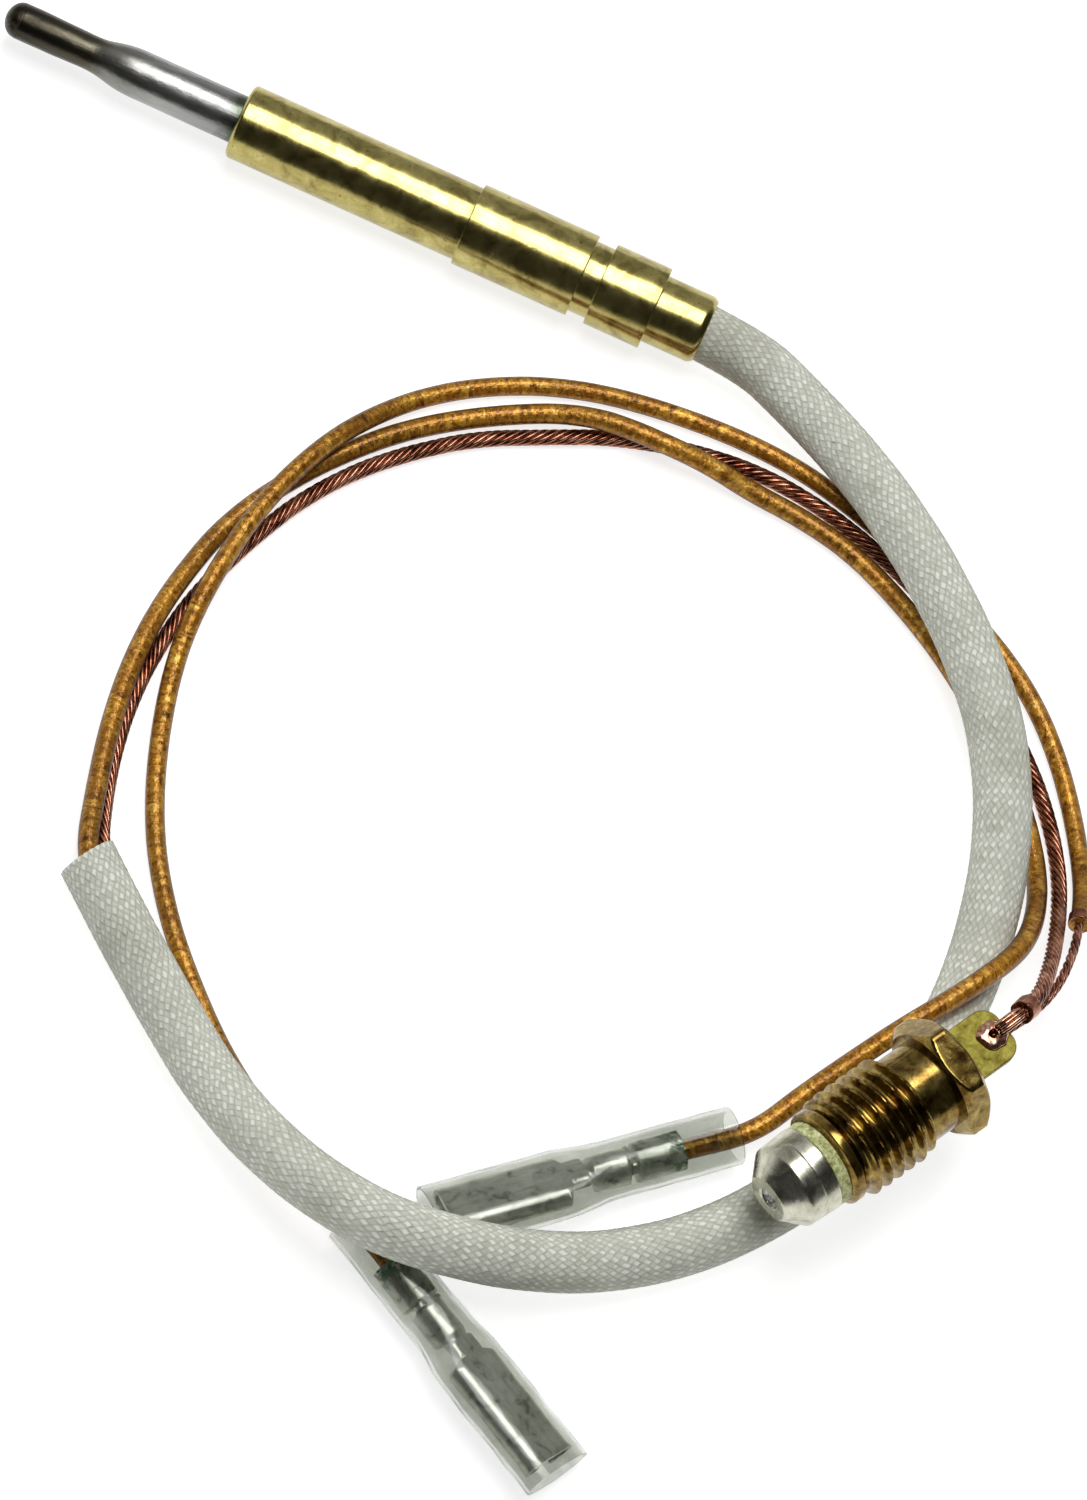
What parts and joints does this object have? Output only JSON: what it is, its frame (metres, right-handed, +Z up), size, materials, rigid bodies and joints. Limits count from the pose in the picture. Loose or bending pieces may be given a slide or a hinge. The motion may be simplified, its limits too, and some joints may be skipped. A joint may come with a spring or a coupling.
{
  "type": "thermocouple",
  "caption": "Flame-failure thermocouple: turned brass probe, braided sleeve, interrupter leads with clear-sleeved spade receptacles, and a threaded connector with a tinned contact.",
  "frame": {"origin": "on the supporting surface, under the middle of the probe's length", "axes": "+X along the probe from its hot tip to its rear, +Z up, +Y to the probe's side away from the leads; the leads lie on the -Y side"},
  "size_m": [0.0969, 0.0889, 0.0133],
  "materials": {
    "scaled_steel": "dark oxide scale from the flame, matte",
    "sheath_steel": "drawn steel tube, satin, browned at its front",
    "ceramic": "fired, matte",
    "core_metal": "drawn copper-nickel wire",
    "tinned_metal": "tinned, softly mottled",
    "insulating_fibre": "moulded insulator, matte",
    "probe_brass": "turned brass, dulled, fine turning marks",
    "copper": "bare stranded copper, slightly tarnished",
    "glass_braid": "braided glass fibre, pale grey-green",
    "varnished_braid": "varnished glass braid, golden brown, satin",
    "connector_brass": "machined brass, satin, dulled",
    "solder": "solidified solder, matte grey",
    "washer_fibre": "pressed fibre washer, speckled yellow-green",
    "terminal_metal": "tinned brass sheet, bright",
    "clear_vinyl": "clear smoky vinyl, glossy"
  },
  "bodies": {
    "root": {"hot_junction_cap": "scaled_steel", "sensing_sheath": "sheath_steel", "core_insulator": "ceramic", "constantan_core": "core_metal", "core_ferrule": "tinned_metal", "ferrule_insulation": "insulating_fibre", "probe_body": "probe_brass", "return_lead_braze": "copper", "braided_sleeve": "glass_braid", "lead_a_insulation": "varnished_braid", "lead_a_conductor": "copper", "lead_b_return": "copper", "lead_b_crimp_band": "copper", "return_lead_tail": "copper", "lead_c_insulation": "varnished_braid", "lead_c_conductor": "copper", "lead_c_end_band": "copper", "connector_stem": "connector_brass", "stem_insulator": "insulating_fibre", "contact_pin": "core_metal", "contact_cone": "tinned_metal", "contact_solder": "solder", "insulating_washer": "washer_fibre", "rear_bush": "insulating_fibre", "pin_splice": "tinned_metal", "spade_receptacle_1": "terminal_metal", "spade_receptacle_2": "terminal_metal"},
    "nut": {"connector_nut": "connector_brass"},
    "sleeve_1": {"clear_sleeve_1": "clear_vinyl"},
    "sleeve_2": {"clear_sleeve_2": "clear_vinyl"}
  },
  "joints": [
    {"name": "nut_turn", "type": "hinge", "parent": "root", "child": "nut", "pos_m": [0.06051, -0.05309, 0.0091], "axis": [0.4909, 0.8712, 0], "continuous": true},
    {"name": "sleeve_1_slide", "type": "slide", "parent": "root", "child": "sleeve_1", "axis": [0.7443, 0.6678, 0], "range_m": [0, 0.0025]},
    {"name": "sleeve_2_slide", "type": "slide", "parent": "root", "child": "sleeve_2", "axis": [-0.8771, 0.4802, 0], "range_m": [0, 0.0025]}
  ]
}
